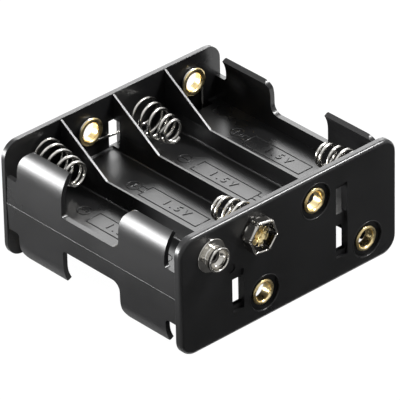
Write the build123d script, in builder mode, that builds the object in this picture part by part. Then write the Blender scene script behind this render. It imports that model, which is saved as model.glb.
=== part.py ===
import os
from math import cos, pi, radians, sin

from build123d import *

os.makedirs("parts", exist_ok=True)

# Driving dimensions, in millimetres and degrees. X runs across the cells, Y along them
# and Z up. The front end wall, which carries the snap terminals, faces -Y.

# Cell bays in each layer
bays = 4
cell_diameter = 14.5
bay_clearance = 0.2
bay_length = 53.7
seat_gap = 0.05

# Moulded holder
body_height = 28.8
front_wall = 1.9
rear_wall = 1.3
side_wall = 1.2
side_draft = 0.2
end_overhang = 0.35
floor_thickness = 1.6
end_corner_radius = 4.0
front_edge_round = 0.8
rear_edge_round = 0.3
inner_edge_round = 0.15

# Ribs between the bays
rib_top = 0.5
rib_root = 1.5
ridge_height = 4.0
rib_slope_length = 14.5
rib_drop = 0.25
foot_round = 0.4

# Gripping fingers of the side walls
finger_slot = 3.45
finger_notch = 18.1
notch_step = 4.2
slot_step = 6.5
long_wrap = 47.0
short_wrap = 31.0
long_corner_round = 4.0
short_corner_round = 2.0
sharp_corner_round = 0.3
notch_corner_round = 0.8
wide_notch_round = 2.2
slot_corner_round = 0.8

# Windows, grooves and slots for the wire links
window_width = 3.4
window_start = 1.4
window_height = 6.5
groove_depth = 0.8
groove_reach = 9.1
short_groove_reach = 0.9
rib_notch_depth = 2.0
floor_slot_width = 4.2
floor_slot_depth = 1.5
gate_mark_radius = 1.1
gate_mark_depth = 0.3
gate_mark_rise = 2.2
gate_mark_shift = 1.9

# Contact springs
wire_diameter = 0.75
wire_gap = 0.05
spring_base_radius = 4.3
spring_start_radius = 2.6
start_turns = 0.25
start_pitch = 3.4
base_turns = 2.25
base_pitch = 2.25
shoulder_radius = 3.45
open_turns = 1.1
open_pitch = 2.9
neck_radius = 2.95
neck_turns = 0.9
neck_pitch = 1.7
crown_radius = 2.6
tip_turns = 0.6
tip_pitch = 0.85
spring_tip_radius = 2.4
steps_per_turn = 16
loop_angle = 300.0
clamp_angle = 60.0
hook_lean = 18.0

# Hollow brass eyelets
eyelet_bore_radius = 2.1
eyelet_wall = 0.35
eyelet_flange_radius = 3.35
eyelet_flange = 0.35
eyelet_funnel_round = 0.3
eyelet_curl_radius = 2.95
eyelet_curl_height = 0.7
eyelet_fit = 0.05
counterbore_radius = 4.25
counterbore_depth = 0.8

# Snap terminals
snap_spacing = 12.7
snap_sheet = 0.35
stud_base_radius = 3.9
stud_height = 2.9
stud_head_radius = 2.9
stud_waist_radius = 2.4
stud_waist_height = 0.8
stud_neck_height = 0.5
socket_base_radius = 3.8
socket_height = 2.9
socket_across_flats = 7.4
socket_lip = 0.4
socket_turn = -9.0
petal_slot_width = 0.45
petal_slot_depth = 2.0

# Rivets of the snap terminals
rivet_shank_radius = 1.4
rivet_fit = 0.05
rivet_head_radius = 3.3
rivet_head = 0.45
rivet_head_round = 0.2
rivet_dimple_radius = 0.9
rivet_dimple_depth = 1.0
stud_rivet_set_radius = 1.95
stud_rivet_set_height = 0.6
socket_rivet_set_radius = 2.4
socket_rivet_set_height = 1.35

# Places worked out from the sizes above
FRONT, REAR = -1, 1
UPPER, LOWER = 1, -1
LEFT, RIGHT = -1, 1
pitch = cell_diameter + bay_clearance + rib_top
cell_radius = cell_diameter / 2
cell_x = [(bay - (bays - 1) / 2) * pitch for bay in range(bays)]
rib_x = [x + pitch / 2 for x in cell_x[:-1]]
inner_half = cell_x[-1] + cell_radius
side_x = inner_half + side_wall
body_width = 2 * (side_x + end_overhang)
mid_z = body_height / 2
cell_rise = floor_thickness / 2 + cell_radius + seat_gap
body_length = front_wall + bay_length + rear_wall
snap_height = max(stud_height, socket_height)
front_y = (snap_height - body_length) / 2
front_in = front_y + front_wall
rear_in = front_in + bay_length
finger_length = (bay_length - finger_notch) / 2 - finger_slot
inner_y = {FRONT: front_in, REAR: rear_in}
wall_of = {FRONT: front_wall, REAR: rear_wall}
layer_of = {"upper": UPPER, "lower": LOWER}
end_of = {"front": FRONT, "rear": REAR}
wire_radius = wire_diameter / 2
wire_depth = wire_gap + wire_radius
stand_off = wire_diameter + 2 * wire_gap
rim_round = 0.45
eyelet_radius = eyelet_bore_radius + eyelet_wall
eyelet_loop_radius = eyelet_radius + wire_gap + wire_radius
rivet_loop_radius = rivet_shank_radius + wire_gap + wire_radius
rivet_hole_radius = rivet_shank_radius + rivet_fit
stud_x = cell_x[0]
socket_x = stud_x + snap_spacing


def level(layer):
    """Height of a layer's cell axes."""
    return mid_z + layer * cell_rise


def seat(name):
    """Layer, cell axis and end wall of the contact that a name such as upper_2_rear gives."""
    layer, bay, end = name.split("_")
    return layer_of[layer], cell_x[int(bay) - 1], end_of[end]


def wall_plane(x, z, end, depth=0.0):
    """Plane on an end wall's inner face, or depth further out, that faces outwards."""
    return Plane((x, inner_y[end] + end * depth, z), x_dir=(-end, 0, 0), z_dir=(0, end, 0))


def turning_plane(x, z, end):
    """Plane through a contact's axis: X is the radius and Y points out of the wall."""
    return Plane((x, inner_y[end], z), x_dir=(1, 0, 0), z_dir=(0, 0, end))


def outline(*points):
    """Face inside a closed line through the points."""
    with BuildLine() as border:
        Polyline(*points, close=True)
    make_face(border.edges())


def wrap_point(side, radius, angle, layer):
    """Point on a circle about the outermost cell of a layer."""
    turn = radians(angle)
    return (side * (cell_x[-1] + radius * cos(turn)), level(layer) + layer * radius * sin(turn))


def wall_section(side, wrap):
    """Section of a side wall, drafted from its middle, that curls round both cells."""
    inner, outer = cell_radius, cell_radius + side_wall
    with BuildLine() as border:
        for layer in (UPPER, LOWER):
            turn = wrap[layer]
            middle = (side * (side_x + side_draft), mid_z)
            Line(middle, wrap_point(side, outer, 0, layer))
            ThreePointArc(*(wrap_point(side, outer, part * turn, layer) for part in (0, 0.5, 1)))
            Line(wrap_point(side, outer, turn, layer), wrap_point(side, inner, turn, layer))
            ThreePointArc(*(wrap_point(side, inner, part * turn, layer) for part in (1, 0.5, 0)))
        Line(wrap_point(side, inner, 0, UPPER), wrap_point(side, inner, 0, LOWER))
    make_face(border.edges())


def finger_side(side, layer, wrap):
    """Points and corner radii of one layer's fingers, from the front end wall to the rear."""
    tip = level(layer) + layer * (cell_radius + side_wall) * sin(radians(wrap[layer]))
    slot, notch = mid_z + layer * slot_step, mid_z + layer * notch_step
    front_1 = front_in + finger_slot
    front_2 = front_1 + finger_length
    rear_1 = front_2 + finger_notch
    rear_2 = rear_1 + finger_length
    big = long_corner_round if wrap[layer] == long_wrap else short_corner_round
    tip_rounds = (sharp_corner_round, big) if side == LEFT else (big, sharp_corner_round)
    roots = (wide_notch_round, notch_corner_round)
    roots = roots if side == LEFT else roots[::-1]
    points = [(front_in, slot), (front_1, slot), (front_1, tip), (front_2, tip)]
    points += [(front_2, notch), (rear_1, notch)]
    points += [(rear_1, tip), (rear_2, tip), (rear_2, slot), (rear_in, slot)]
    rounds = [0, slot_corner_round, *tip_rounds, *roots, *tip_rounds, slot_corner_round, 0]
    return points, rounds


def hexagon(apothem, mode=Mode.ADD):
    """Hexagon of the socket, turned about its axis."""
    RegularPolygon(apothem, 6, major_radius=False, rotation=socket_turn, mode=mode)


def tangent_points(eyelet, coil, normal):
    """Where a wire leaves an eyelet's loop and where it meets a coil, on one side of both."""
    span = coil - eyelet
    along = span.normalized()
    across = (normal - along * normal.dot(along)).normalized()
    lean = (eyelet_loop_radius - spring_start_radius) / span.length
    side = along * lean + across * (1 - lean**2) ** 0.5
    return eyelet + side * eyelet_loop_radius, coil + side * spring_start_radius, side


def turn_point(plane, radius, turns, height=0.0):
    """Corner of a bent wire's short straights, whose middles lie on the radius."""
    corner, angle = radius / cos(pi / steps_per_turn), 2 * pi * turns
    return plane.from_local_coords(Vector(corner * cos(angle), corner * sin(angle), height))


def coil_points(plane, sense, radius):
    """Corners of a coil that widens to its base turn and then narrows stage by stage."""
    points, turns, height = [], 0.5 / steps_per_turn, 0.0
    for stage_turns, stage_pitch, end_radius in coil_stages:
        steps = round(stage_turns * steps_per_turn)
        widening = (end_radius - radius) / steps
        for _ in range(steps):
            points.append(turn_point(plane, radius, sense * turns, height))
            turns += 1 / steps_per_turn
            radius += widening
            height += stage_pitch / steps_per_turn
    return points


def flat_turn_points(plane, radius, sense, angle):
    """Corners of a flat turn that ends on a plane's X axis."""
    steps = range(round(angle / 360 * steps_per_turn), -1, -1)
    return [turn_point(plane, radius, -sense * (step + 0.5) / steps_per_turn) for step in steps]


def wire_through(points):
    """Round wire along straights, mitred where they meet."""
    with BuildLine() as line:
        Polyline(*points)
    path = line.wire()
    with BuildSketch(Plane(path @ 0, z_dir=path % 0)) as section:
        Circle(wire_radius)
    sweep(section.sketch, path=path, transition=Transition.RIGHT)


# Side walls with their fingers. Diagonally opposite fingers wrap equally far.
side_walls = {}
for side in (LEFT, RIGHT):
    wraps = (long_wrap, short_wrap)
    wrap = dict(zip((UPPER, LOWER) if side == LEFT else (LOWER, UPPER), wraps))
    with BuildPart() as side_wall_part:
        with BuildSketch(Plane.XZ.offset(-front_in)):
            wall_section(side, wrap)
        extrude(amount=-bay_length)
        with BuildSketch(Plane.YZ.offset(side * side_x)):
            with BuildLine():
                upper_points, upper_rounds = finger_side(side, UPPER, wrap)
                lower_points, lower_rounds = finger_side(side, LOWER, wrap)
                FilletPolyline(
                    *upper_points,
                    *lower_points[::-1],
                    radius=upper_rounds + lower_rounds[::-1],
                    close=True,
                )
            make_face()
        extrude(amount=side_x / 2, both=True, mode=Mode.INTERSECT)
    side_walls[side] = side_wall_part.part

# Bay floor with its ribs: low ridges between the cells that rise to full height at the
# rear wall
with BuildPart() as bay_floor:
    skin = floor_thickness / 2
    ridge, full = skin + ridge_height, body_height / 2 - rib_drop
    root, top = rib_root / 2, rib_top / 2
    with BuildSketch(Plane.XZ.offset(-front_in)) as section:
        for x in rib_x:
            left = [(x - root, mid_z), (x - root, mid_z + skin)]
            left += [(x - top, mid_z + ridge), (x - top, mid_z + full)]
            right = [(x + top, mid_z + full), (x + top, mid_z + ridge)]
            right += [(x + root, mid_z + skin), (x + root, mid_z)]
            outline(*left, *right)
        mirror(about=Plane.XZ.offset(-mid_z))
        with Locations((0, mid_z)):
            Rectangle(2 * inner_half, floor_thickness)
        feet = section.vertices().group_by(Axis.Y)[2:4]
        fillet([foot for row in feet for foot in row.sort_by(Axis.X)[1:-1]], foot_round)
    extrude(amount=-bay_length)
    with BuildSketch(Plane.YZ):
        knee_y = rear_in - rib_slope_length
        upper_line = [(front_in, mid_z + ridge), (knee_y, mid_z + ridge), (rear_in, mid_z + full)]
        lower_line = [(rear_in, mid_z - full), (knee_y, mid_z - ridge), (front_in, mid_z - ridge)]
        outline(*upper_line, *lower_line)
    extrude(amount=inner_half, both=True, mode=Mode.INTERSECT)

# Stages of a coil: turns, pitch and the radius that the stage ends on
coil_stages = [
    (start_turns, start_pitch, spring_base_radius),
    (base_turns, base_pitch, shoulder_radius),
    (open_turns, open_pitch, neck_radius),
    (neck_turns, neck_pitch, crown_radius),
    (tip_turns, tip_pitch, spring_tip_radius),
]

# Eyelets, one for each cell's positive end, apart from the cell at the stud
eyelet_seats = ["upper_2_rear", "upper_3_front", "upper_4_rear"]
eyelet_seats += ["lower_1_rear", "lower_2_front", "lower_3_rear", "lower_4_front"]

# Springs: seat, the eyelet that the wire runs on to, the side of the two coils that the
# wire passes, and how far the coil stands beside and above the cell's axis
up, down = Vector(0, 0, 1), Vector(0, 0, -1)
spring_seats = [
    ("upper_1_rear", "lower_1_rear", Vector(-1, 0, 0), 1.9, -0.6),
    ("upper_3_rear", "upper_2_rear", down, -0.5, -1.7),
    ("upper_4_front", "upper_3_front", up, 0.0, -0.6),
    ("lower_1_front", "lower_2_front", down, 0.0, 0.0),
    ("lower_2_rear", "lower_3_rear", up, 0.0, 0.0),
    ("lower_3_front", "lower_4_front", down, 0.0, 0.0),
    ("lower_4_rear", "upper_4_rear", Vector(1, 0, 0), 0.0, 0.0),
]

# Windows: end, place of the rib behind them and the layers that they open
windows = [
    (FRONT, rib_x[0], (LOWER,)),
    (FRONT, rib_x[-1], (UPPER, LOWER)),
    (REAR, rib_x[len(rib_x) // 2], (UPPER, LOWER)),
]

# Holder body, one moulding
with BuildPart() as holder_body:
    for end in (FRONT, REAR):
        with BuildSketch(wall_plane(0, mid_z, end)):
            RectangleRounded(body_width, body_height, end_corner_radius)
        extrude(amount=wall_of[end])
    outer_faces = faces().filter_by(Axis.Y).group_by(Axis.Y)
    fillet(outer_faces[0].edges(), front_edge_round)
    fillet(outer_faces[-1].edges(), rear_edge_round)
    inner_faces = faces().filter_by(Axis.Y).group_by(Axis.Y)
    fillet(inner_faces[1].edges() + inner_faces[-2].edges(), inner_edge_round)
    with BuildSketch(Plane.YZ):
        for end in (FRONT, REAR):
            y, floor_top = inner_y[end], mid_z + skin
            on_floor = (y - end * (foot_round + skin), floor_top - skin)
            on_wall = (y + end * skin, floor_top + foot_round + skin)
            outline(on_floor, on_wall, (y + end * skin, floor_top - skin))
        mirror(about=Plane.XZ.offset(-mid_z))
    extrude(amount=side_x, both=True)
    add(bay_floor.part)
    add(side_walls[LEFT])
    add(side_walls[RIGHT])

    # Windows in the end walls, notches in the ribs behind them and grooves in front
    for end, x, layers in windows:
        for layer in layers:
            window_z = mid_z + layer * (window_start + window_height / 2)
            with BuildSketch(wall_plane(x, window_z, end, -rib_notch_depth)):
                Rectangle(window_width, window_height)
            extrude(amount=rib_notch_depth + wall_of[end], mode=Mode.SUBTRACT)
        groove_top = groove_reach if UPPER in layers else short_groove_reach
        groove_z = mid_z + (groove_top - groove_reach) / 2
        with BuildSketch(wall_plane(x, groove_z, end, wall_of[end] - groove_depth)):
            Rectangle(window_width, groove_top + groove_reach)
        extrude(amount=groove_depth, mode=Mode.SUBTRACT)

    # Slots in the floor where a wire passes from one layer to the other
    for name, link_name, normal, shift, _ in spring_seats:
        layer, x, end = seat(name)
        if seat(link_name)[0] != layer:
            slot_x = x + (shift + normal.X * (eyelet_loop_radius + spring_start_radius)) / 2
            with Locations((slot_x, inner_y[end] - end * floor_slot_depth / 2, mid_z)):
                Box(floor_slot_width, floor_slot_depth, 2 * floor_thickness, mode=Mode.SUBTRACT)

    # Counterbored holes for the eyelets, and plain holes for the snap rivets
    for name in eyelet_seats:
        layer, x, end = seat(name)
        with Locations(wall_plane(x, level(layer), end, wall_of[end])):
            CounterBoreHole(
                radius=eyelet_radius + eyelet_fit,
                counter_bore_radius=counterbore_radius,
                counter_bore_depth=counterbore_depth,
                depth=wall_of[end],
            )
    for x in (stud_x, socket_x):
        with Locations(wall_plane(x, level(UPPER), FRONT, front_wall)):
            Hole(rivet_hole_radius, depth=front_wall)

    # Round gate mark beside the single window
    gate_x = rib_x[0] - gate_mark_shift
    with Locations(wall_plane(gate_x, mid_z + gate_mark_rise, FRONT, front_wall)):
        Hole(gate_mark_radius, depth=gate_mark_depth)
holder_body.part.label = "holder_body"
export_step(holder_body.part, "parts/holder_body.step")

# Eyelets: flange inside, barrel through the wall, end curled over in the counterbore
for name in eyelet_seats:
    layer, x, end = seat(name)
    ledge = wall_of[end] - counterbore_depth
    with BuildPart() as eyelet:
        with BuildSketch(turning_plane(x, level(layer), end)) as section:
            bore, barrel = eyelet_bore_radius, eyelet_radius
            flange_top = -stand_off - eyelet_flange
            curl_top = ledge + eyelet_curl_height
            flange_points = [(bore, flange_top), (eyelet_flange_radius, flange_top)]
            flange_points += [(eyelet_flange_radius, -stand_off), (barrel, -stand_off)]
            curl_points = [(barrel, ledge), (eyelet_curl_radius, ledge)]
            curl_points += [(eyelet_curl_radius, curl_top), (bore, curl_top)]
            outline(*flange_points, *curl_points)
            fillet(section.vertices().group_by(Axis.Y)[-1], (eyelet_curl_radius - bore) * rim_round)
            fillet(section.vertices().group_by(Axis.Y)[0].sort_by(Axis.X)[0], eyelet_funnel_round)
        revolve(axis=Axis((x, 0, level(layer)), (0, 1, 0)))
    eyelet.part.label = f"{name}_eyelet"
    export_step(eyelet.part, f"parts/{name}_eyelet.step")

# Springs that run on to an eyelet: a loop round its barrel, a straight link and the coil
for name, link_name, normal, shift, lift in spring_seats:
    layer, x, end = seat(name)
    link_layer, link_x, _ = seat(link_name)
    wire_y = inner_y[end] - end * wire_depth
    eyelet_centre = Vector(link_x, wire_y, level(link_layer))
    coil_centre = Vector(x + shift, wire_y, level(layer) + lift)
    leave, meet, outward = tangent_points(eyelet_centre, coil_centre, normal)
    inward = Vector(0, -end, 0)
    sense = 1 if outward.cross(meet - leave).dot(inward) > 0 else -1
    loop_plane = Plane(eyelet_centre, x_dir=outward, z_dir=inward)
    coil_plane = Plane(coil_centre, x_dir=outward, z_dir=inward)
    loop_points = flat_turn_points(loop_plane, eyelet_loop_radius, sense, loop_angle)
    with BuildPart() as spring:
        wire_through(loop_points + coil_points(coil_plane, sense, spring_start_radius))
    spring.part.label = f"{name}_spring"
    export_step(spring.part, f"parts/{name}_spring.step")

# Spring behind the socket: its end turn lies round the rivet's shank, under its head
hook_reach, lean = spring_base_radius - rivet_loop_radius, radians(hook_lean)
hooked_centre = Vector(
    socket_x + hook_reach * cos(lean),
    front_in + wire_depth,
    level(UPPER) - hook_reach * sin(lean),
)
turn = lean + radians(clamp_angle)
hook_plane = Plane(hooked_centre, x_dir=(-cos(turn), 0, sin(turn)), z_dir=(0, 1, 0))
clamped_points = flat_turn_points(hook_plane, spring_base_radius, 1, 2 * clamp_angle)
with BuildPart() as hooked_spring:
    wire_through(clamped_points + coil_points(hook_plane, 1, spring_base_radius))
hooked_spring.part.label = "upper_2_front_spring"
export_step(hooked_spring.part, "parts/upper_2_front_spring.step")

# Stud terminal: a drawn cup with a base flange, a waist and a rolled head
with BuildPart() as stud_terminal:
    with BuildSketch(turning_plane(stud_x, level(UPPER), FRONT)) as section:
        base = front_wall
        floor = base + snap_sheet
        waist = floor + stud_waist_height
        head = waist + stud_neck_height
        rim = base + stud_height
        outside = [(stud_base_radius, base), (stud_base_radius, floor)]
        outside += [(stud_waist_radius, floor), (stud_waist_radius, waist)]
        outside += [(stud_head_radius, head), (stud_head_radius, rim)]
        inside = [(stud_head_radius - snap_sheet, rim), (stud_head_radius - snap_sheet, head)]
        inside += [(stud_waist_radius - snap_sheet, waist), (stud_waist_radius - snap_sheet, floor)]
        inside += [(rivet_hole_radius, floor), (rivet_hole_radius, base)]
        outline(*outside, *inside)
        fillet(section.vertices().group_by(Axis.Y)[-1], snap_sheet * rim_round)
    revolve(axis=Axis((stud_x, 0, level(UPPER)), (0, 1, 0)))
stud_terminal.part.label = "stud_terminal"
export_step(stud_terminal.part, "parts/stud_terminal.step")

# Socket terminal: a round base and a hexagonal cup, slotted at its corners into petals
with BuildPart() as socket_terminal:
    socket_z = level(UPPER)
    apothem = socket_across_flats / 2
    with BuildSketch(wall_plane(socket_x, socket_z, FRONT, front_wall)):
        Circle(socket_base_radius)
        hexagon(apothem)
        Circle(rivet_hole_radius, mode=Mode.SUBTRACT)
    extrude(amount=snap_sheet)
    cup_height = socket_height - snap_sheet
    with BuildSketch(wall_plane(socket_x, socket_z, FRONT, front_wall + snap_sheet)):
        hexagon(apothem)
        hexagon(apothem - snap_sheet, Mode.SUBTRACT)
    extrude(amount=cup_height)
    with BuildSketch(wall_plane(socket_x, socket_z, FRONT, front_wall + socket_height)):
        hexagon(apothem)
        hexagon(apothem - snap_sheet - socket_lip, Mode.SUBTRACT)
    extrude(amount=-snap_sheet)
    slot_depth = front_wall + socket_height - petal_slot_depth
    with BuildSketch(wall_plane(socket_x, socket_z, FRONT, slot_depth)):
        with PolarLocations(apothem, 6, start_angle=socket_turn):
            Rectangle(apothem, petal_slot_width)
    extrude(amount=petal_slot_depth, mode=Mode.SUBTRACT)
socket_terminal.part.label = "socket_terminal"
export_step(socket_terminal.part, "parts/socket_terminal.step")

# Rivets of the two terminals. The socket's head also clamps a spring to the wall.
for name, x, head_gap, set_radius, set_height in (
    ("stud_rivet", stud_x, 0.0, stud_rivet_set_radius, stud_rivet_set_height),
    ("socket_rivet", socket_x, stand_off, socket_rivet_set_radius, socket_rivet_set_height),
):
    with BuildPart() as rivet:
        with BuildSketch(turning_plane(x, level(UPPER), FRONT)) as section:
            set_floor = front_wall + snap_sheet
            set_top = set_floor + set_height
            head_top = -head_gap - rivet_head
            points = [(0, head_top), (rivet_head_radius, head_top)]
            points += [(rivet_head_radius, -head_gap), (rivet_shank_radius, -head_gap)]
            points += [(rivet_shank_radius, set_floor), (set_radius, set_floor)]
            points += [(set_radius, set_top), (rivet_dimple_radius, set_top)]
            dimple_floor = set_top - rivet_dimple_depth
            points += [(rivet_dimple_radius, dimple_floor), (0, dimple_floor)]
            outline(*points)
            rims = section.vertices().group_by(Axis.Y)
            fillet([rims[0].sort_by(Axis.X)[-1], *rims[-1]], rivet_head_round)
        revolve(axis=Axis((x, 0, level(UPPER)), (0, 1, 0)))
    rivet.part.label = name
    export_step(rivet.part, f"parts/{name}.step")
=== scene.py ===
import math

import bmesh
import bpy
from mathutils import Matrix, Vector


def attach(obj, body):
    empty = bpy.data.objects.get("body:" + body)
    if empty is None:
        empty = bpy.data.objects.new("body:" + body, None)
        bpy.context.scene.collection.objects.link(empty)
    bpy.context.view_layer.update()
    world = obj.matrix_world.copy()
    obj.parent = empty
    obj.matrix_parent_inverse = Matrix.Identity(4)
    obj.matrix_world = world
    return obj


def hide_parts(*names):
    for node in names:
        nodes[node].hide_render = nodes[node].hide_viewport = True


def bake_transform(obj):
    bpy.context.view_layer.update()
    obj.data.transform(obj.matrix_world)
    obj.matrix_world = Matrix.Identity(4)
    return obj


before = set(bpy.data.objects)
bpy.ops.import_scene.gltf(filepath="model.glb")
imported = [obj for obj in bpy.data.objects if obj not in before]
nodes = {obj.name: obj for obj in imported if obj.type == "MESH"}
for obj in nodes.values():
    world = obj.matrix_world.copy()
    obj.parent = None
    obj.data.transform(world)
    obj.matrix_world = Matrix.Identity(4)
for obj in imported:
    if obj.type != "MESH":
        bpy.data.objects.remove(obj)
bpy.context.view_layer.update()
mm = 0.001

# Where things are on the moulding, in millimetres, as in the part's source
holder = {
    "cellX": (-22.8, -7.6, 7.6, 22.8),
    "axisZ": {"upper": 22.5, "lower": 6.3},
    "innerY": {"front": -25.1, "rear": 28.6},
    "outerY": {"front": -27.0, "rear": 29.9},
    "wall": {"front": 1.9, "rear": 1.3},
    "outward": {"front": -1, "rear": 1},
    "floorZ": {"upper": 15.2, "lower": 13.6},
    "height": 28.8,
    "snapSpacing": 12.7,
}


# Most of a noise's values lie between low and high
noiseLook = {"low": 0.3, "high": 0.7, "roughness": 0.55}


# Small helpers for shader trees
def newMaterial(name):
    made = bpy.data.materials.new(name)
    made.use_nodes = True
    tree = made.node_tree
    coords = tree.nodes.new("ShaderNodeTexCoord").outputs["Object"]
    return made, tree, tree.nodes["Principled BSDF"], coords


def noiseOn(tree, coords, scale, detail):
    noise = tree.nodes.new("ShaderNodeTexNoise")
    noise.inputs["Scale"].default_value = scale
    noise.inputs["Detail"].default_value = detail
    noise.inputs["Roughness"].default_value = noiseLook["roughness"]
    tree.links.new(coords, noise.inputs["Vector"])
    return noise.outputs["Fac"]


def rangeOf(tree, value, low, high):
    node = tree.nodes.new("ShaderNodeMapRange")
    span = {"From Min": noiseLook["low"], "From Max": noiseLook["high"], "To Min": low, "To Max": high}
    for label, number in span.items():
        node.inputs[label].default_value = number
    tree.links.new(value, node.inputs["Value"])
    return node.outputs["Result"]


def rampOf(tree, value, low, high):
    ramp = tree.nodes.new("ShaderNodeValToRGB")
    first, last = ramp.color_ramp.elements
    first.position, first.color = noiseLook["low"], (*low, 1)
    last.position, last.color = noiseLook["high"], (*high, 1)
    tree.links.new(value, ramp.inputs["Fac"])
    return ramp.outputs["Color"]


def bumpOf(tree, shader, height, strength, distance):
    bump = tree.nodes.new("ShaderNodeBump")
    bump.inputs["Strength"].default_value = strength
    bump.inputs["Distance"].default_value = distance
    tree.links.new(height, bump.inputs["Height"])
    tree.links.new(bump.outputs["Normal"], shader.inputs["Normal"])


plasticLook = {
    "dark": (0.0065, 0.0065, 0.0068),
    "light": (0.0105, 0.0105, 0.011),
    "roughLow": 0.26,
    "roughHigh": 0.35,
    "specular": 0.5,
    "grain": 2600.0,     # per metre: the fine satin grain of the mould
    "grainDetail": 2.0,
    "grainHeight": 0.000012,
    "bump": 0.35,
    "flow": 55.0,        # slow changes of gloss across a wall
    "flowDetail": 4.0,
}


def blackPlastic():
    made, tree, shader, coords = newMaterial("blackPlastic")
    flow = noiseOn(tree, coords, plasticLook["flow"], plasticLook["flowDetail"])
    grain = noiseOn(tree, coords, plasticLook["grain"], plasticLook["grainDetail"])
    color = rampOf(tree, flow, plasticLook["dark"], plasticLook["light"])
    tree.links.new(color, shader.inputs["Base Color"])
    rough = rangeOf(tree, flow, plasticLook["roughLow"], plasticLook["roughHigh"])
    tree.links.new(rough, shader.inputs["Roughness"])
    shader.inputs["Specular IOR Level"].default_value = plasticLook["specular"]
    bumpOf(tree, shader, grain, plasticLook["bump"], plasticLook["grainHeight"])
    return made


metalLooks = {
    "springWire": {"dark": (0.40, 0.39, 0.37), "light": (0.70, 0.685, 0.65), "rough": (0.14, 0.26),
                   "grain": 1500.0, "height": 0.000008, "bump": 0.3},
    "nickelPlate": {"dark": (0.42, 0.405, 0.375), "light": (0.72, 0.70, 0.66), "rough": (0.05, 0.14),
                    "grain": 900.0, "height": 0.000008, "bump": 0.12},
    "brassSheet": {"dark": (0.74, 0.54, 0.22), "light": (0.93, 0.79, 0.46), "rough": (0.24, 0.38),
                   "grain": 1100.0, "height": 0.000012, "bump": 0.3},
    "rivetSteel": {"dark": (0.09, 0.088, 0.085), "light": (0.17, 0.165, 0.16), "rough": (0.30, 0.45),
                   "grain": 1100.0, "height": 0.00001, "bump": 0.2},
}
metalNoise = {"stain": 320.0, "stainDetail": 4.0, "grainDetail": 3.0}


def metal(name):
    look = metalLooks[name]
    made, tree, shader, coords = newMaterial(name)
    stain = noiseOn(tree, coords, metalNoise["stain"], metalNoise["stainDetail"])
    grain = noiseOn(tree, coords, look["grain"], metalNoise["grainDetail"])
    tree.links.new(rampOf(tree, stain, look["dark"], look["light"]), shader.inputs["Base Color"])
    tree.links.new(rangeOf(tree, grain, *look["rough"]), shader.inputs["Roughness"])
    shader.inputs["Metallic"].default_value = 1.0
    bumpOf(tree, shader, grain, look["bump"], look["height"])
    return made


plastic, springWire = blackPlastic(), metal("springWire")
nickelPlate, brassSheet = metal("nickelPlate"), metal("brassSheet")


def dress(node, material):
    node.data.materials.clear()
    node.data.materials.append(material)


dress(nodes["holder_body"], plastic)
print("materials ready")


# Small helpers for Geometry Nodes trees
def newTree(name, inputs):
    tree = bpy.data.node_groups.new(name, "GeometryNodeTree")
    tree.interface.new_socket("Geometry", in_out="INPUT", socket_type="NodeSocketGeometry")
    tree.interface.new_socket("Geometry", in_out="OUTPUT", socket_type="NodeSocketGeometry")
    for label, kind in inputs:
        tree.interface.new_socket(label, in_out="INPUT", socket_type="NodeSocket" + kind)
    return tree, tree.nodes.new("NodeGroupInput"), tree.nodes.new("NodeGroupOutput")


def setInput(modifier, label, value):
    for item in modifier.node_group.interface.items_tree:
        if item.item_type == "SOCKET" and item.in_out == "INPUT" and item.name == label:
            modifier[item.identifier] = value


# The evaluated result as an ordinary mesh object, with its source removed
def plainMesh(obj, name):
    bpy.context.view_layer.update()
    mesh = bpy.data.meshes.new_from_object(obj.evaluated_get(bpy.context.evaluated_depsgraph_get()))
    bpy.data.objects.remove(obj)
    mesh.name = name
    made = bpy.data.objects.new(name, mesh)
    bpy.context.collection.objects.link(made)
    return made


def wireTree():
    inputs = (("Wire Radius", "Float"), ("Sides", "Int"), ("Finish", "Material"))
    tree, start, end = newTree("bentWire", inputs)
    profile = tree.nodes.new("GeometryNodeCurvePrimitiveCircle")
    sweep = tree.nodes.new("GeometryNodeCurveToMesh")
    smooth = tree.nodes.new("GeometryNodeSetShadeSmooth")
    realize = tree.nodes.new("GeometryNodeRealizeInstances")
    paint = tree.nodes.new("GeometryNodeSetMaterial")
    sweep.inputs["Fill Caps"].default_value = True
    link = tree.links.new
    link(start.outputs["Wire Radius"], profile.inputs["Radius"])
    link(start.outputs["Sides"], profile.inputs["Resolution"])
    link(start.outputs["Geometry"], sweep.inputs["Curve"])
    link(profile.outputs["Curve"], sweep.inputs["Profile Curve"])
    link(sweep.outputs["Mesh"], smooth.inputs["Geometry"])
    link(smooth.outputs["Geometry"], realize.inputs["Geometry"])
    link(realize.outputs["Geometry"], paint.inputs["Geometry"])
    link(start.outputs["Finish"], paint.inputs["Material"])
    link(paint.outputs["Geometry"], end.inputs["Geometry"])
    return tree


bentWire = wireTree()


# One mesh of round wire along each run of points, in millimetres
def wirePiece(name, runs, radius, sides, material):
    curve = bpy.data.curves.new(name + "Line", "CURVE")
    curve.dimensions = "3D"
    for points, closed in runs:
        spline = curve.splines.new("POLY")
        spline.points.add(len(points) - 1)
        for point, place in zip(spline.points, points):
            point.co = (*(Vector(place) * mm), 1)
        spline.use_cyclic_u = closed
    source = bpy.data.objects.new(name + "Line", curve)
    bpy.context.collection.objects.link(source)
    sweep = source.modifiers.new("bentWire", "NODES")
    sweep.node_group = bentWire
    for label, value in (("Wire Radius", radius * mm), ("Sides", sides), ("Finish", material)):
        setInput(sweep, label, value)
    return plainMesh(source, name)


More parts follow.
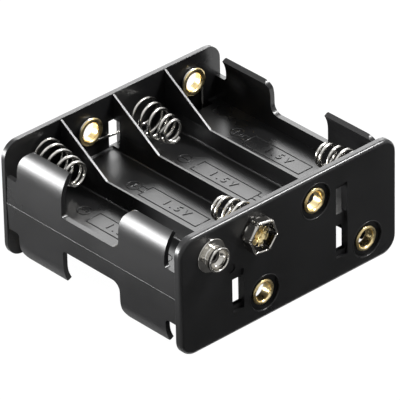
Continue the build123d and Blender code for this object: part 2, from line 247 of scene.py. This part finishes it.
# Contact springs: a loop round the next cell's eyelet, a straight link and the coil
coil = {
    "wire": 0.375,
    "wireGap": 0.05,
    "held": 0.95,         # a distance from the wall, in millimetres
    "startRadius": 2.6,
    "baseRadius": 4.3,
    "stages": (           # turns, pitch and the radius that the stage ends on
        (0.25, 3.4, 4.3), (2.25, 2.25, 3.45), (1.125, 2.9, 2.95), (0.875, 1.7, 2.6), (0.625, 0.85, 2.4),
    ),
    "flatStart": 0.1,
    "loopRadius": 2.875,
    "loopAngle": 300.0,
    "rivetLoop": 1.825,
    "clampAngle": 60.0,
    "hookLean": 18.0,
    "sides": 16,
    "stepsPerTurn": 40,
    "linkSteps": 6,
}

# bay, end, eyelet's layer and bay, side that the link runs on, shift and lift of the coil
springSeats = {
    "upper_1_rear": (0, "rear", "lower", 0, (-1, 0), 1.9, -0.6),
    "upper_3_rear": (2, "rear", "upper", 1, (0, -1), -0.5, -1.7),
    "upper_4_front": (3, "front", "upper", 2, (0, 1), 0.0, -0.6),
    "lower_1_front": (0, "front", "lower", 1, (0, -1), 0.0, 0.0),
    "lower_2_rear": (1, "rear", "lower", 2, (0, 1), 0.0, 0.0),
    "lower_3_front": (2, "front", "lower", 3, (0, -1), 0.0, 0.0),
    "lower_4_rear": (3, "rear", "upper", 3, (1, 0), 0.0, 0.0),
}


def turnPoint(centre, across, along, radius, angle, rise, inward):
    offset = across * (radius * math.cos(angle)) + along * (radius * math.sin(angle))
    return centre + offset + inward * rise


# Points of a turn that lies on the wall and ends on the across direction
def flatTurn(centre, across, along, inward, radius, angle):
    steps = round(angle / 360 * coil["stepsPerTurn"])
    turns = [-math.radians(angle) * (steps - i) / steps for i in range(steps + 1)]
    return [turnPoint(centre, across, along, radius, turn, 0.0, inward) for turn in turns]


# Points of the coil, stage by stage
def coilTurns(centre, across, along, inward, radius):
    points, turned, rise = [], 0.0, -coil["flatStart"]
    for turns, pitch, endRadius in coil["stages"]:
        steps = round(turns * coil["stepsPerTurn"])
        widening = (endRadius - radius) / steps
        for _ in range(steps):
            turned += 1 / coil["stepsPerTurn"]
            radius += widening
            rise += pitch / coil["stepsPerTurn"]
            angle, height = 2 * math.pi * turned, max(rise, 0.0)
            points.append(turnPoint(centre, across, along, radius, angle, height, inward))
    return points


def springPath(name):
    bay, end, eyeletLayer, eyeletBay, normal, shift, lift = springSeats[name]
    inward = Vector((0, -holder["outward"][end], 0))
    y = holder["innerY"][end] + inward.y * (coil["wireGap"] + coil["wire"])
    eyelet = Vector((holder["cellX"][eyeletBay], y, holder["axisZ"][eyeletLayer]))
    axis = Vector((holder["cellX"][bay] + shift, y, holder["axisZ"][name.split("_")[0]] + lift))
    span = axis - eyelet
    run = span.normalized()
    side = Vector((normal[0], 0, normal[1]))
    side = (side - run * side.dot(run)).normalized()
    lean = (coil["loopRadius"] - coil["startRadius"]) / span.length
    across = run * lean + side * math.sqrt(1 - lean ** 2)
    link = (axis + across * coil["startRadius"]) - (eyelet + across * coil["loopRadius"])
    along = link.normalized()
    points = flatTurn(eyelet, across, along, inward, coil["loopRadius"], coil["loopAngle"])
    points += [points[-1] + link * (i / coil["linkSteps"]) for i in range(1, coil["linkSteps"] + 1)]
    return points + coilTurns(axis, across, along, inward, coil["startRadius"]), end


# The coil behind the socket has its end turn round the rivet instead of a loop
def hookedPath():
    lean, reach = math.radians(coil["hookLean"]), coil["baseRadius"] - coil["rivetLoop"]
    turn = lean + math.radians(coil["clampAngle"])
    socketX = holder["cellX"][0] + holder["snapSpacing"]
    y = holder["innerY"]["front"] + coil["wireGap"] + coil["wire"]
    centre = Vector((socketX + reach * math.cos(lean), y, holder["axisZ"]["upper"] - reach * math.sin(lean)))
    across = Vector((-math.cos(turn), 0, math.sin(turn)))
    inward = Vector((0, 1, 0))
    along = inward.cross(across)
    points = flatTurn(centre, across, along, inward, coil["baseRadius"], 2 * coil["clampAngle"])
    return points + coilTurns(centre, across, along, inward, coil["baseRadius"]), "front"


def makeSprings():
    for name in (*springSeats, "upper_2_front"):
        points, end = springPath(name) if name in springSeats else hookedPath()
        piece = wirePiece(name + "_coil", [(points, False)], coil["wire"], coil["sides"], springWire)
        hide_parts(name + "_spring")
        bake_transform(piece)


makeSprings()
print("springs made")


mergeDistance = 1e-8   # metres


# A place at an angle round a contact's axis, which runs out of the front wall
def roundPlace(radius, out, angle):
    return radius * math.cos(angle) * mm, -out * mm, radius * math.sin(angle) * mm


def meshPiece(name, shape, material):
    mesh = bpy.data.meshes.new(name)
    shape.to_mesh(mesh)
    shape.free()
    mesh.materials.append(material)
    made = bpy.data.objects.new(name, mesh)
    bpy.context.collection.objects.link(made)
    return made


# Turned pieces: a closed outline of (radius, distance out of the wall) spun about the contact's axis
def lathe(name, outline, segments, material, ripple=None):
    shape = bmesh.new()
    rings = []
    for step in range(segments):
        angle = 2 * math.pi * step / segments
        ring = []
        for radius, out in outline:
            if ripple:
                radius += ripple(radius, out, angle)
            ring.append(shape.verts.new(roundPlace(radius, out, angle)))
        rings.append(ring)
    count = len(outline)
    for step in range(segments):
        here, there = rings[step], rings[(step + 1) % segments]
        for i in range(count):
            shape.faces.new((here[i], here[(i + 1) % count], there[(i + 1) % count], there[i]))
    bmesh.ops.remove_doubles(shape, verts=shape.verts, dist=mergeDistance)
    bmesh.ops.recalc_face_normals(shape, faces=shape.faces)
    for face in shape.faces:
        face.smooth = True
    return meshPiece(name, shape, material)


# Points of an arc in an outline, angles in degrees
def arcPoints(centre, radius, start, stop, steps):
    angles = [math.radians(start + (stop - start) * i / steps) for i in range(steps + 1)]
    return [(centre[0] + radius * math.cos(a), centre[1] + radius * math.sin(a)) for a in angles]


# Copies of a turned mesh at (x, y, z, outward) places, in one mesh
def placeMesh(piece, places, name):
    shape = bmesh.new()
    for x, y, z, outward in places:
        part = piece.data.copy()
        turn = Matrix.Identity(4) if outward < 0 else Matrix.Rotation(math.pi, 4, "Z")
        part.transform(Matrix.Translation(Vector((x, y, z)) * mm) @ turn)
        shape.from_mesh(part)
        bpy.data.meshes.remove(part)
    material = piece.data.materials[0]
    bpy.data.objects.remove(piece)
    return meshPiece(name, shape, material)


eyelet = {
    "bore": 2.1,
    "wall": 0.35,
    "counterbore": 0.8,
    "standOff": 0.85,     # room for the spring's loop under the flange
    "flange": 0.35,
    "flangeTaper": 0.05,
    "flangeRadius": 3.35,
    "crest": 2.75,
    "crestFall": 0.3,
    "crestSteps": 7,
    "curlRadius": 2.95,
    "curlHeight": 0.66,
    "curlMiddle": (0.03, 0.30),
    "curlArc": (-70, 100, 9),     # first and last angle, steps
    "lip": 0.55,
    "lipSteps": 6,
    "seatGap": 0.02,
    "smoothTo": -0.72,    # the bore is plain further in than this
    "lobes": 7,
    "lobeDepth": 0.09,
    "lobeFade": 0.5,
    "lobeShare": {"bore": 0.8, "curl": 0.35},
    "curlFrom": 2.6,
    "unevenness": (0.35, 17, 0.8),     # share, waves and phase of a second, finer wave
    "segments": 112,
}

eyeletSeats = [("upper", 1, "rear"), ("upper", 2, "front"), ("upper", 3, "rear"), ("lower", 0, "rear"),
               ("lower", 1, "front"), ("lower", 2, "rear"), ("lower", 3, "front")]


# Distances run outwards from the wall's outer face
def eyeletOutline(wallThickness):
    bore, barrel = eyelet["bore"], eyelet["bore"] + eyelet["wall"]
    seat, inside = -eyelet["counterbore"], -wallThickness - eyelet["standOff"]
    flange, crest, steps, lip = (eyelet[k] for k in ("flangeRadius", "crest", "crestSteps", "lip"))
    top = inside - eyelet["flange"]
    points = [(bore, eyelet["smoothTo"])]
    points += arcPoints((crest, top + crest - bore), crest - bore, 180, 270, steps)   # funnel inside
    for i in range(1, steps + 1):   # crown of the flange
        turn = math.radians(90 * i / steps)
        fall = eyelet["crestFall"] * (1 - math.cos(turn))
        points.append((crest + (flange - crest) * math.sin(turn), top + fall))
    points += [(flange - eyelet["flangeTaper"], inside), (barrel, inside)]
    points += [(barrel, seat + eyelet["seatGap"])]
    middle = (barrel + eyelet["curlRadius"]) / 2
    aside, rise = eyelet["curlMiddle"]
    curlCentre, curl = (middle + aside, seat + rise), eyelet["curlRadius"] - middle
    points += arcPoints(curlCentre, curl, *eyelet["curlArc"])   # curl in the counterbore
    lipCentre = bore + lip, seat + eyelet["curlHeight"] - lip
    return points + arcPoints(lipCentre, lip, 90, 180, eyelet["lipSteps"])


# Pressed lobes in the curl, which fade out down the barrel
def crimp(radius, out, angle):
    if out <= eyelet["smoothTo"]:
        return 0.0
    share = min(1.0, (out - eyelet["smoothTo"]) / eyelet["lobeFade"])
    finer, waves, phase = eyelet["unevenness"]
    wave = math.sin(eyelet["lobes"] * angle) + finer * math.sin(waves * angle + phase)
    place = "curl" if radius > eyelet["curlFrom"] else "bore"
    return eyelet["lobeDepth"] * share * wave * eyelet["lobeShare"][place]


def makeEyelets():
    for end, thickness in holder["wall"].items():
        seats = [s for s in eyeletSeats if s[2] == end]
        y, outward = holder["outerY"][end], holder["outward"][end]
        places = [(holder["cellX"][bay], y, holder["axisZ"][layer], outward) for layer, bay, _ in seats]
        master = lathe("eyeletMaster", eyeletOutline(thickness), eyelet["segments"], brassSheet, crimp)
        piece = placeMesh(master, places, end + "_eyelets")
        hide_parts(*["%s_%d_%s_eyelet" % (layer, bay + 1, end) for layer, bay, _ in seats])
        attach(piece, "holder")


makeEyelets()
print("eyelets made")


# Snap terminals on the front wall, in places of (radius, distance out of the wall)
stud = {
    "foot": ((1.45, 0.02), (3.75, 0.0)),
    "edge": ((3.72, 0.18), 0.18, -80, 90, 6),     # an arc: centre, radius, first and last angle, steps
    "shoulder": ((3.35, 0.42), (2.85, 0.55)),
    "waist": ((2.7, 0.95), 0.35, 270, 180, 6),
    "neck": ((2.37, 1.15), (2.51, 1.45), (2.74, 1.75), (2.88, 2.0), (2.9, 2.3)),
    "rim": ((2.64, 2.64), 0.26, 0, 200, 12),
    "bowl": ((2.34, 2.0), (2.15, 1.5), (1.65, 1.1), (1.5, 0.95), (1.45, 0.6)),
    "segments": 96,
}
socket = {
    "flats": 7.4,
    "sheet": 0.32,
    "foot": ((3.68, 0.12), (3.8, 0.30)),
    "sides": (            # distance outside the flats, and out of the wall
        (0.0, 0.42), (0.0, 0.9), (0.0, 1.5), (0.0, 2.1), (0.0, 2.6),
        (-0.06, 2.78), (-0.18, 2.88), (-0.42, 2.9), (-0.56, 2.72),
    ),
    "slot": 0.45,
    "slotFrom": 0.89,
    "corner": 0.5,
    "edge": 0.06,
    "edgeAngle": 50.0,
    "edgeSegments": 2,
    "turn": math.radians(-9),
    "segments": 240,
}


# Rolled edge of the base, waist and rolled rim, then the bowl inside
def studOutline():
    points = [*stud["foot"], *arcPoints(*stud["edge"]), *stud["shoulder"], *arcPoints(*stud["waist"])]
    return points + [*stud["neck"], *arcPoints(*stud["rim"]), *stud["bowl"]]


# Angle from the middle of a hexagon's nearest flat, with flats at the top and the bottom
def fromFlat(angle):
    return abs((angle - math.pi / 2 + math.pi / 6) % (math.pi / 3) - math.pi / 6)


# Distance to a hexagon with rounded corners
def hexRadius(angle, apothem, corner):
    part = fromFlat(angle)
    straight = apothem / math.cos(part)
    cornerCentre = (apothem - corner) / math.cos(math.pi / 6)
    away = math.pi / 6 - part
    inside = corner ** 2 - (cornerCentre * math.sin(away)) ** 2
    if inside <= 0:
        return straight
    return min(straight, cornerCentre * math.cos(away) + math.sqrt(inside))


# Hexagonal cup of thin sheet: side walls, slotted at their corners, with a lip turned in at the mouth
def socketCup():
    apothem, count = socket["flats"] / 2, socket["segments"]
    angles = [2 * math.pi * step / count for step in range(count)]
    shape = bmesh.new()
    rings = []
    for radius, out in socket["foot"]:
        rings.append([shape.verts.new(roundPlace(radius, out, angle)) for angle in angles])
    for outside, out in socket["sides"]:
        radii = [hexRadius(angle - socket["turn"], apothem + outside, socket["corner"]) for angle in angles]
        places = [roundPlace(radius, out, angle) for radius, angle in zip(radii, angles)]
        rings.append([shape.verts.new(place) for place in places])
    heights = [out for _, out in (*socket["foot"], *socket["sides"])]
    for here, there, out in zip(rings, rings[1:], heights):
        for step in range(count):
            away = math.pi / 6 - fromFlat(2 * math.pi * (step + 0.5) / count - socket["turn"])
            if out >= socket["slotFrom"] and away * apothem < socket["slot"] / 2:
                continue
            nextStep = (step + 1) % count
            shape.faces.new((here[step], there[step], there[nextStep], here[nextStep]))
    loose = [v for v in shape.verts if not v.link_faces]
    bmesh.ops.delete(shape, geom=loose, context="VERTS")
    bmesh.ops.recalc_face_normals(shape, faces=shape.faces)
    for face in shape.faces:
        face.smooth = True
    made = meshPiece("socketCup", shape, nickelPlate)
    thick = made.modifiers.new("sheet", "SOLIDIFY")
    thick.thickness, thick.offset = socket["sheet"] * mm, -1.0
    edge = made.modifiers.new("edge", "BEVEL")
    edge.width, edge.segments = socket["edge"] * mm, socket["edgeSegments"]
    edge.limit_method, edge.angle_limit = "ANGLE", math.radians(socket["edgeAngle"])
    return plainMesh(made, "socketCupMesh")


rivet = {
    "head": 3.3,
    "headThick": 0.45,
    "headRound": 0.2,
    "headSteps": 4,
    "standOff": 0.85,     # room for the spring's end turn under the head
    "shank": 1.4,
    "shankTop": 0.4,
    "splay": ((1.6, 1.0), (1.95, 1.38), (2.25, 1.52), (2.38, 1.6), (2.3, 1.69), (1.75, 1.6), (1.3, 1.35)),
    "hollow": ((1.0, 1.0), (0.92, 0.7), (0.0, 0.7)),
    "petals": 6,
    "petalDepth": 0.75,
    "petalFrom": (1.2, 0.9),      # least radius and distance out of the wall
    "petalSpan": (1.1, 1.3),
    "segments": 144,
}


# Tubular rivet: head inside the wall, over the spring's end turn, and a set end splayed into petals
def rivetOutline(wallThickness):
    under, edge = -wallThickness - rivet["standOff"], rivet["headRound"]
    top = under - rivet["headThick"]
    points = [(0.0, top)]
    points += arcPoints((rivet["head"] - edge, top + edge), edge, -90, 0, rivet["headSteps"])
    points += [(rivet["head"], under), (rivet["shank"], under), (rivet["shank"], rivet["shankTop"])]
    return points + [*rivet["splay"], *rivet["hollow"]]


def petalWave(radius, out, angle):
    leastRadius, leastOut = rivet["petalFrom"]
    if radius < leastRadius or out < leastOut:
        return 0.0
    root, span = rivet["petalSpan"]
    return -rivet["petalDepth"] * max(0.0, math.cos(rivet["petals"] * angle)) ** 2 * (radius - root) / span


def makeSnaps():
    y, z, front = holder["outerY"]["front"], holder["axisZ"]["upper"], holder["outward"]["front"]
    studX, socketX = holder["cellX"][0], holder["cellX"][0] + holder["snapSpacing"]
    shell = lathe("studMaster", studOutline(), stud["segments"], nickelPlate)
    piece = placeMesh(shell, [(studX, y, z, front)], "stud_shell")
    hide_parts("stud_terminal")
    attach(piece, "holder")
    cup = placeMesh(socketCup(), [(socketX, y, z, front)], "socket_shell")
    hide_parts("socket_terminal")
    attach(cup, "holder")
    outline = rivetOutline(holder["wall"]["front"])
    star = lathe("starMaster", outline, rivet["segments"], brassSheet, petalWave)
    star = placeMesh(star, [(socketX, y, z, front)], "socket_rivet_star")
    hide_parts("socket_rivet")
    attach(star, "holder")
    dress(nodes["stud_rivet"], metal("rivetSteel"))


makeSnaps()
print("snap terminals made")


# Raised marks on the bay floors: polarity signs, cell outlines and the cell voltage
marks = {
    "line": 0.14,
    "sides": 8,
    "ringSteps": 36,
    "signRadius": 1.55,
    "signArm": 0.95,
    "signAt": ((0.44, 13.64), (-0.4, 13.78), (-0.08, 14.21), (0.4, 14.4)),   # beside the axis, and along it
    "frontSignY": -12.4,
    "outline": (-2.15, 2.15),
    "outlineY": (10.3, -7.8),
    "nub": (0.85, 1.9),
    "textSize": 3.1,
    "textY": (2.0, 0.45, 2.1, 0.8),
    "textRaise": 0.14,
    "spacing": 1.45,
}


def ringRun(x, y, z):
    radius, steps = marks["signRadius"], marks["ringSteps"]
    turns = [2 * math.pi * i / steps for i in range(steps)]
    return [(x + radius * math.cos(turn), y + radius * math.sin(turn), z) for turn in turns], True


def bayMarks(layer, bay):
    x, z = holder["cellX"][bay], holder["floorZ"][layer]
    aside, rearY = marks["signAt"][bay]
    rearSign, frontSign = (x + aside, rearY), (x, marks["frontSignY"])
    springAtRear = "%s_%d_rear" % (layer, bay + 1) in springSeats     # the minus end has the spring
    minus, plus = (rearSign, frontSign) if springAtRear else (frontSign, rearSign)
    arm = marks["signArm"]
    runs = [ringRun(*at, z) for at in (minus, plus)]
    runs += [([(at[0], at[1] - arm, z), (at[0], at[1] + arm, z)], False) for at in (minus, plus)]
    runs += [([(plus[0] - arm, plus[1], z), (plus[0] + arm, plus[1], z)], False)]
    low, high = x + marks["outline"][0], x + marks["outline"][1]
    rear, front = marks["outlineY"]
    runs.append(([(low, rear, z), (high, rear, z), (high, front, z), (low, front, z)], True))
    width, length = marks["nub"]
    step, edge = (length, rear) if plus is rearSign else (-length, front)
    nub = [(x - width, edge), (x - width, edge + step), (x + width, edge + step), (x + width, edge)]
    return runs + [([(*corner, z) for corner in nub], False)]


def voltageText(layer, bay):
    text = bpy.data.curves.new("voltage", "FONT")
    text.body, text.size, text.extrude = "1.5V", marks["textSize"] * mm, marks["textRaise"] * mm
    text.align_x, text.align_y, text.space_character = "CENTER", "CENTER", marks["spacing"]
    source = bpy.data.objects.new("voltage", text)
    bpy.context.collection.objects.link(source)
    made = plainMesh(source, "voltageMesh")
    up = 1 if layer == "upper" else -1
    place = Vector((holder["cellX"][bay], marks["textY"][bay], holder["floorZ"][layer])) * mm
    turn = Matrix(((0, up, 0), (-1, 0, 0), (0, 0, up)))
    made.data.transform(Matrix.Translation(place) @ turn.to_4x4())
    return made


def makeMarks():
    bays = range(len(holder["cellX"]))
    for layer in holder["floorZ"]:
        runs = [run for bay in bays for run in bayMarks(layer, bay)]
        lines = wirePiece(layer + "MarkLines", runs, marks["line"], marks["sides"], plastic)
        texts = [voltageText(layer, bay) for bay in bays]
        shape = bmesh.new()
        for part in (lines, *texts):
            shape.from_mesh(part.data)
            bpy.data.objects.remove(part)
        piece = meshPiece(layer + "_floor_marks", shape, plastic)
        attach(piece, "holder")


makeMarks()
print("floor marks made")


# Fine mould lines: the parting line of both side walls and the lips of the front counterbores
mouldLines = {
    "sideX": 31.44,
    "sides": 12,
    "seam": 0.09,
    "lip": 0.15,
    "lipRadius": 4.28,
    "lipSink": 0.08,     # depth of the lip's middle in the wall
    "lipSteps": 72,
}


def lipRun(layer, bay):
    x, z = holder["cellX"][bay], holder["axisZ"][layer]
    y = holder["outerY"]["front"] + mouldLines["lipSink"]
    turns = [2 * math.pi * i / mouldLines["lipSteps"] for i in range(mouldLines["lipSteps"])]
    radius = mouldLines["lipRadius"]
    return [(x + radius * math.cos(turn), y, z + radius * math.sin(turn)) for turn in turns], True


def makeMouldLines():
    front, rear = (holder["innerY"][end] for end in ("front", "rear"))
    middle = holder["height"] / 2
    x = mouldLines["sideX"]
    seams = [([(side, front, middle), (side, rear, middle)], False) for side in (-x, x)]
    lips = [lipRun(layer, bay) for layer, bay, end in eyeletSeats if end == "front"]
    for name, runs, size in (("parting_lines", seams, "seam"), ("counterbore_lips", lips, "lip")):
        piece = wirePiece(name, runs, mouldLines[size], mouldLines["sides"], plastic)
        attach(piece, "holder")


makeMouldLines()
print("mould lines made")


# Floor, light and camera
studio = {
    "floorColor": (0.82, 0.82, 0.82),
    "floorSeen": 0.95,            # share of plain white that the camera sees on the floor
    "seenStrength": 1.04,
    "roughness": 0.9,
    "specular": 0.1,
    "size": 6.0,                  # metres
    "sink": 0.02,
    "worldLight": 0.11,
    "aim": (0, 0, 14),
    "lamps": {                    # place, width and height in millimetres, watts
        "leftBack": ((-290, 240, 72), 230, 110, 3.0),
        "rightBack": ((216, 240, 170), 260, 200, 0.8),
        "rightTop": ((212, -120, 330), 110, 110, 2.2),
        "overhead": ((-60, 60, 380), 260, 260, 0.2),
    },
    "cards": {                    # before the front and beside the left wall: middle, size, grey
        "frontCard": ((30, -101.5, 0.01), (220, 148), 0.055),
        "sideCard": ((-98, 45, 0.01), (130, 170), 0.3),
    },
}
shot = {
    "azimuth": -42.11,
    "elevation": 31.92,
    "roll": -1.217,
    "distance": 1200.0,
    "target": (0.0, 1.3, 13.575),
    "focalPixels": 5561.7,
    "framePixels": 400.0,
    "sensor": 36.0,
    "clip": (0.05, 20.0),         # metres
}


def mattPaint(name, color):
    made, tree, shader, _ = newMaterial(name)
    shader.inputs["Base Color"].default_value = (*color, 1)
    shader.inputs["Roughness"].default_value = studio["roughness"]
    shader.inputs["Specular IOR Level"].default_value = studio["specular"]
    return made, tree, shader


def makeFloor():
    bpy.ops.mesh.primitive_plane_add(size=studio["size"], location=(0, 0, -studio["sink"] * mm))
    floor = bpy.context.object
    floor.name = "floor"
    made, tree, shader = mattPaint("paleFloor", studio["floorColor"])
    white = tree.nodes.new("ShaderNodeEmission")
    white.inputs["Strength"].default_value = studio["seenStrength"]
    mix = tree.nodes.new("ShaderNodeMixShader")
    path = tree.nodes.new("ShaderNodeLightPath")
    share = tree.nodes.new("ShaderNodeMath")
    share.operation = "MULTIPLY"
    share.inputs[1].default_value = studio["floorSeen"]
    tree.links.new(path.outputs["Is Camera Ray"], share.inputs[0])
    tree.links.new(share.outputs[0], mix.inputs["Fac"])
    tree.links.new(shader.outputs["BSDF"], mix.inputs[1])
    tree.links.new(white.outputs["Emission"], mix.inputs[2])
    tree.links.new(mix.outputs["Shader"], tree.nodes["Material Output"].inputs["Surface"])
    floor.data.materials.append(made)


def makeWorld():
    world = bpy.data.worlds.new("studioWorld")
    bpy.context.scene.world = world
    world.use_nodes = True
    tree = world.node_tree
    light = tree.nodes["Background"]
    light.inputs["Color"].default_value = (1, 1, 1, 1)
    light.inputs["Strength"].default_value = studio["worldLight"]
    white = tree.nodes.new("ShaderNodeBackground")
    path = tree.nodes.new("ShaderNodeLightPath")
    mix = tree.nodes.new("ShaderNodeMixShader")
    seen = path.outputs["Is Camera Ray"]
    for kind in ("Is Glossy Ray", "Is Transmission Ray"):
        most = tree.nodes.new("ShaderNodeMath")
        most.operation = "MAXIMUM"
        tree.links.new(seen, most.inputs[0])
        tree.links.new(path.outputs[kind], most.inputs[1])
        seen = most.outputs[0]
    tree.links.new(seen, mix.inputs["Fac"])
    tree.links.new(light.outputs[0], mix.inputs[1])
    tree.links.new(white.outputs[0], mix.inputs[2])
    tree.links.new(mix.outputs["Shader"], tree.nodes["World Output"].inputs["Surface"])


def makeLamps():
    aim = Vector(studio["aim"])
    for name, (place, width, height, power) in studio["lamps"].items():
        lamp = bpy.data.lights.new(name, "AREA")
        lamp.shape, lamp.size, lamp.size_y, lamp.energy = "RECTANGLE", width * mm, height * mm, power
        made = bpy.data.objects.new(name, lamp)
        bpy.context.collection.objects.link(made)
        made.location = Vector(place) * mm
        made.rotation_euler = (Vector(place) - aim).to_track_quat("Z", "Y").to_euler()


# Only reflections see the cards, as they see a black flag in a photo studio
def makeCards():
    for name, ((x, y, z), (width, depth), grey) in studio["cards"].items():
        bpy.ops.mesh.primitive_plane_add(size=1.0, location=(x * mm, y * mm, z * mm))
        card = bpy.context.object
        card.name, card.scale = name, (width * mm, depth * mm, 1)
        card.data.materials.append(mattPaint(name, (grey, grey, grey))[0])
        for kind in ("camera", "diffuse", "shadow", "transmission"):
            setattr(card, "visible_" + kind, False)


def makeCamera():
    a, e, r = (math.radians(shot[k]) for k in ("azimuth", "elevation", "roll"))
    back = Vector((math.sin(a) * math.cos(e), -math.cos(a) * math.cos(e), math.sin(e)))
    level = Vector((math.cos(a), math.sin(a), 0))
    rise = back.cross(level)
    right = level * math.cos(r) + rise * math.sin(r)
    up = rise * math.cos(r) - level * math.sin(r)
    lens = bpy.data.cameras.new("shotCamera")
    lens.sensor_width = shot["sensor"]
    lens.lens = shot["focalPixels"] / shot["framePixels"] * lens.sensor_width
    lens.clip_start, lens.clip_end = shot["clip"]
    camera = bpy.data.objects.new("shotCamera", lens)
    bpy.context.collection.objects.link(camera)
    place = (Vector(shot["target"]) + back * shot["distance"]) * mm
    turn = Matrix((right, up, back)).transposed().to_4x4()
    camera.matrix_world = Matrix.Translation(place) @ turn
    bpy.context.scene.camera = camera


makeFloor()
makeWorld()
makeLamps()
makeCards()
makeCamera()
bpy.context.scene.view_settings.view_transform = "Standard"
print("stage ready")
